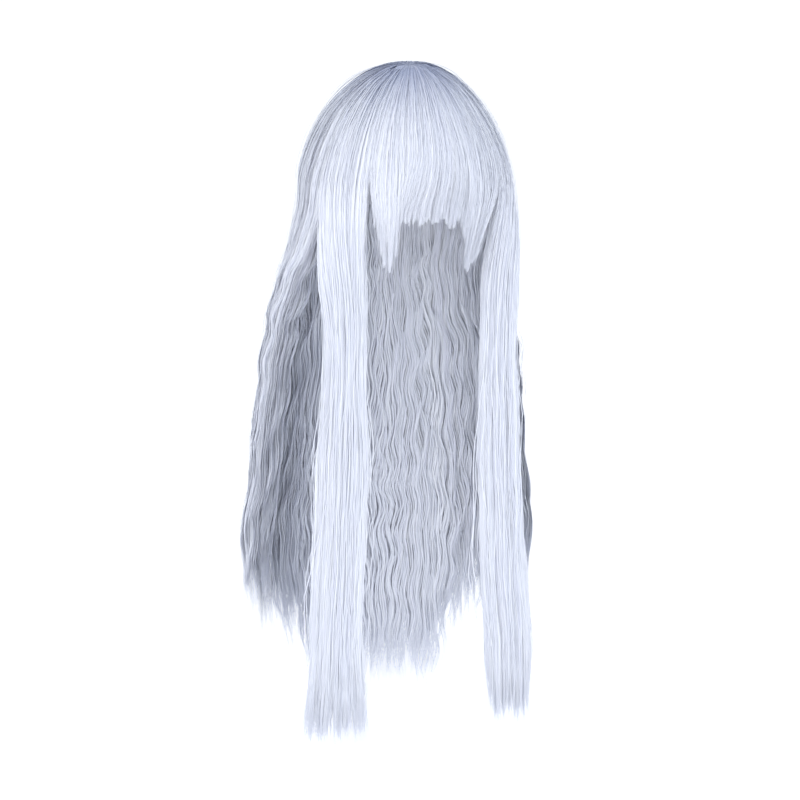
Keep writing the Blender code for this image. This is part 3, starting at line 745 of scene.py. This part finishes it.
def hair_finish(name, tints):
    """Fibres of many tints from deep to pale, some nearer violet, and all darkened at the root by
    painted shade.

    The map's X tells fibres apart, and its Y runs down them.
    """
    finish = Finish(name)
    place = finish.add("ShaderNodeUVMap", {"uv_map": "OFBake"}, {})["UV"]
    parts = finish.axes(place)
    number, down = (parts["X"] * tints).math("FLOOR"), parts["Y"]
    own = finish.add(
        "ShaderNodeTexWhiteNoise", {"noise_dimensions": "1D"}, {"W": number}
    )["Value"]
    along = finish.add("ShaderNodeCombineXYZ", {}, {"X": number * 7.31, "Y": down * 9.0})["Vector"]
    cloudy = finish.add(
        "ShaderNodeTexNoise",
        {"noise_dimensions": "2D"},
        {"Vector": along, "Scale": 1.0, "Detail": 3.0},
    )["Fac"]
    # Painted shade: the fibres and the underlayer darken towards the root, over the first part of
    # the run down from the whorl.
    rooted = 1.0 - (down * 6.2).math("MINIMUM", 1.0)
    light = (own * 0.20 + cloudy * 0.40 + 0.48 - rooted * rooted * 1.5).clamped()
    colour = finish.mix(light, ROOT_SHADE_AND_DEEP_TONE, PALE_SHADE)
    violet = (own * 13.7).math("FRACT").math("GREATER_THAN", 0.82)
    colour = finish.mix(violet * 0.4, colour, VIOLET_SHADE)
    finish.surface(colour, cloudy * 0.14 + 0.36)
    return finish.material


fibre_finish = hair_finish("hair_fibre", TINTS)
mass_finish = hair_finish("hair_underlayer", TINTS * 3)


def dress(piece, material):
    piece.data.materials.append(material)


FRINGE_CURL = 2.0
BROW_HEM, UNDER_HEM = -0.129, -0.108


def hang_fringe(bearing, run, inset):
    """Over the crown, and then falling inwards to the brow."""
    point = over_crown(bearing, run, inset)
    drop = np.maximum(run - OVER_CROWN * 0.94, 0.0)
    point[..., 1] += drop ** 2 * FRINGE_CURL
    point[..., 0] -= np.sin(bearing) * drop ** 2 * FRINGE_CURL * 0.6
    return point


def fringe_tip(bearing):
    """Nearly level over the brow, and down to the cheeks at each end."""
    degrees = np.degrees(bearing)
    brow = run_to(BROW_HEM) + 0.004 * ripple(bearing / 0.12, 3)
    right = run_to(-0.140) + 0.038 * np.clip((degrees + 42.0) / 11.0, 0.0, 1.0)
    left = run_to(-0.185) - 0.012 * ease((degrees - 32.0) / 10.0)
    tip = between(brow, right, ease((-degrees - 15.0) / 14.0))
    return between(tip, left, ease((degrees - 15.0) / 9.0))


def fringe_sweep(bearing):
    """The turn of the tips: to one side over the brow, and into a wisp at each end."""
    degrees = np.degrees(bearing)
    turn = math.radians(-7.5) + 0.03 * ripple(bearing / 0.10, 4)
    turn = between(turn, (math.radians(-29.5) - bearing) * 0.42, ease((-degrees - 16.0) / 8.0))
    return between(turn, (math.radians(16.0) - bearing) * 0.62, ease((degrees - 14.0) / 7.0))


def under_fringe(bearing):
    return run_to(UNDER_HEM) + 0 * bearing


FRINGE_GATHERS = ((0.17, 0.10, 0.0008), (0.060, 0.18, 0.0007), (0.019, 0.22, 0.0003))
for seed, side, span in ((11, "right", (-42.0, 0.6)), (12, "left", (-0.6, 42.0))):
    fringe_hair = lay_fibres(
        "fringe_hair_" + side, count=4700, seed=seed, steps=21, width=0.00060, span=span,
        hang=hang_fringe, tip_run=fringe_tip, insets=(0.0, 0.0065), gathers=FRINGE_GATHERS,
        ramp=(0.02, 0.20), ragged=0.005, sweep=fringe_sweep, pinch=0.30,
    )
    dress(fringe_hair, fibre_finish)
    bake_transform(fringe_hair)
fringe_mass = lay_mass(
    "fringe_underlayer", (-34.0, 34.0), hang_fringe, under_fringe, (0.0035, 0.009),
    columns=90, rows=26,
)
dress(fringe_mass, mass_finish)
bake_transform(fringe_mass)
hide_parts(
    "fringe", "cheek_wisp_left", "cheek_wisp_right", "crown_hair_left",
    "crown_hair_right",
)


# ---------------------------------------------------------------- front locks
# The long straight lock in front of each shoulder, sewn to the side track over the temple. The
# same fibre, ironed straight, thinning to ragged tips.

LOCK_SPAN = (41.0, 70.0)
LOCK_GATHERS = ((0.12, 0.08, 0.0006), (0.050, 0.12, 0.0005), (0.017, 0.14, 0.0002))
LOCK_WAVE = (0.0011, 0.12)
LOCK_DEPTH, TIP_DEPTH = 0.015, 0.010
UNDER_LOCK = 0.11


def lock_tip(bearing):
    return LONGEST_RUN - 0.006 + 0.012 * ripple(bearing / 0.09, 8)


def under_lock(bearing):
    return lock_tip(bearing) - UNDER_LOCK


def lock_fall(sign, middle):
    """How a side's lock hangs: a flat bundle at a depth, waisted at the neck and fanning down.

    The wearer's left one, of positive sign, is slimmer, and the right one spreads at its tip.
    """
    def hang(bearing, run, inset):
        point = over_crown(bearing, run, inset)
        height = point[..., 2]
        far = np.clip((HEAD_LEVEL - height) / (HEAD_LEVEL - TIP_LEVEL), 0.0, 1.0)
        across = np.degrees(np.abs(bearing))
        across = (across - LOCK_SPAN[0]) / (LOCK_SPAN[1] - LOCK_SPAN[0]) - 0.5
        centre = 0.0920 - 0.0080 * ease(far * 4.2) + 0.0125 * ease((far - 0.3) / 0.7)
        width = 0.044 - 0.005 * ease(far * 4.2) + 0.010 * ease((far - 0.25) / 0.3)
        fan = ease((far - 0.6) / 0.4)
        if sign > 0:
            centre = centre + 0.005 * fan
            width = width * 0.84
        else:
            width = width + 0.012 * fan ** 2
        width = width + 0.0025 * ripple(far * 7.0, 60 + int(sign))
        across = across * (0.86 + 4.2 * across ** 4)
        thick = between(LOCK_DEPTH, TIP_DEPTH, ease(far * 1.4 - 0.4))
        bulge = 0.35 + 0.65 * np.sqrt(np.clip(1.0 - (across * 1.8) ** 2, 0.0, 1.0))
        hung = np.stack([
            sign * (centre + across * width),
            middle + (inset / 0.010 - 0.5) * thick * bulge,
            height,
        ], -1)
        return between(point, hung, ease((HEAD_LEVEL + 0.025 - height) / 0.13)[..., None])

    return hang


for seed, side, sign in ((21, "left", 1.0), (22, "right", -1.0)):
    lock_low, lock_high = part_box("front_lock_" + side)
    hang_lock = lock_fall(sign, (lock_low.y + lock_high.y) / 2)
    start, end = sorted((sign * LOCK_SPAN[0], sign * LOCK_SPAN[1]))
    lock_hair = lay_fibres(
        "front_lock_hair_" + side, count=3500, seed=seed, steps=28, width=0.00066,
        span=(start, end), hang=hang_lock, tip_run=lock_tip, insets=(0.0, 0.010),
        gathers=LOCK_GATHERS, ramp=(0.05, 0.45), ragged=0.020, wave=LOCK_WAVE, stray=0.05,
    )
    lock_mass = lay_mass(
        "front_lock_underlayer_" + side, (start + 4.0, end - 4.0), hang_lock, under_lock,
        (0.003, 0.007), columns=22, rows=40, wave=LOCK_WAVE,
    )
    dress(lock_hair, fibre_finish)
    dress(lock_mass, mass_finish)
    for piece in (lock_hair, lock_mass):
        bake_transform(piece)
    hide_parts("front_lock_" + side)


# ---------------------------------------------------------------- back hair
# The long hair of the rows of weft across the back. The same fibre, crimped in soft waves below
# the nape, wide at the sides and cut shorter there than in the middle.

# The rows of weft reach 104 degrees round each way, and the hair 112 degrees round the whorl.
CURTAIN_TURN = 104.0 / 112.0
CURTAIN_TOP = -0.118
# Share of the fall, flare past the crown's side, middle and depth of the curtain's plan.
CURTAIN_PLAN = np.array((
    (0.00, 0.005, 0.000, 0.122),
    (0.09, 0.013, 0.008, 0.114),
    (0.17, 0.016, 0.026, 0.099),
    (0.25, 0.024, 0.040, 0.085),
    (0.33, 0.035, 0.045, 0.080),
    (0.48, 0.044, 0.052, 0.074),
    (0.67, 0.056, 0.055, 0.072),
    (1.00, 0.042, 0.052, 0.070),
))
PLAN_DEPTH = 0.125
BACK_WAVE = (0.0032, 0.062)
BACK_GATHERS = ((0.20, 0.10, 0.0010), (0.065, 0.14, 0.0007), (0.020, 0.18, 0.0002))
UNDER_BACK = 0.075
plan_shares = np.linspace(0.0, 1.0, 400)
plan_rows = np.searchsorted(CURTAIN_PLAN[:, 0], plan_shares, side="right") - 1
plan_rows = np.clip(plan_rows, 0, len(CURTAIN_PLAN) - 2)
above, below = CURTAIN_PLAN[plan_rows], CURTAIN_PLAN[plan_rows + 1]
plan_step = ease((plan_shares - above[:, 0]) / (below[:, 0] - above[:, 0]))
plan_values = between(above, below, plan_step[:, None])


def hang_back(bearing, run, inset):
    """A curved curtain behind the shoulders, drawn in at the nape, its left end wrapped forward."""
    point = over_crown(bearing, run, inset)
    height = point[..., 2]
    angle = (math.pi - bearing) * CURTAIN_TURN
    share = (CURTAIN_TOP - height) / (CURTAIN_TOP - TIP_LEVEL)
    wrapped = ease((share - 0.30) / 0.25) * ease((angle - math.radians(62.0)) / math.radians(45.0))
    angle = angle + 0.34 * wrapped
    flare, centre, depth = (
        np.interp(share, plan_shares, plan_values[:, column]) for column in (1, 2, 3)
    )
    at_nape = np.exp(-(((height + 0.155) / 0.040) ** 2))
    at_shoulder = np.exp(-(((height + 0.245) / 0.045) ** 2))
    inset = inset * (1.0 - 0.42 * at_nape)
    flare = flare - 0.005 * np.sign(np.sin(angle)) * at_shoulder
    hung = np.stack([
        np.sin(angle) * (CROWN_SIDE + flare - inset),
        centre + np.cos(angle) * (depth + CROWN_END - PLAN_DEPTH - inset),
        height,
    ], -1)
    return between(point, hung, ease((HEAD_LEVEL + 0.03 - height) / 0.14)[..., None])


def back_tip(bearing):
    """An even hem behind, cut up towards each side."""
    angle = np.abs(np.degrees(math.pi - bearing)) * CURTAIN_TURN
    side_cut = 0.066 * ease((angle - 27.0) / 9.0) + 0.070 * ease((angle - 30.0) / 64.0)
    return LONGEST_RUN + 0.006 - side_cut


def under_back(bearing):
    return back_tip(bearing) - UNDER_BACK


BACK_SPANS = ((68, 113), (111, 158), (156, 204), (202, 249), (247, 292))
MASS_SPANS = ((80, 112), (112, 157), (157, 203), (203, 248), (248, 280))
LOOSE_ENDS = {1: BACK_SPANS[0][0], 5: BACK_SPANS[-1][1]}
for number, (span, mass_span) in enumerate(zip(BACK_SPANS, MASS_SPANS), 1):
    back_hair = lay_fibres(
        f"back_hair_fall_{number}", count=1380, seed=30 + number, steps=71, width=0.00085,
        span=span, hang=hang_back, tip_run=back_tip, insets=(0.0, 0.006, 0.017, 0.027),
        gathers=BACK_GATHERS, ramp=(0.06, 0.55), ragged=0.017, wave=BACK_WAVE, stray=0.045,
        loose_end=LOOSE_ENDS.get(number),
    )
    back_mass = lay_mass(
        f"back_hair_underlayer_{number}", mass_span, hang_back, under_back, (0.0070, 0.0165),
        columns=24, rows=84, wave=BACK_WAVE,
    )
    dress(back_hair, fibre_finish)
    dress(back_mass, mass_finish)
    for piece in (back_hair, back_mass):
        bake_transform(piece)
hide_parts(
    "back_hair_outer", "back_hair_middle", "back_hair_inner", "back_hair_left",
    "back_hair_right",
)
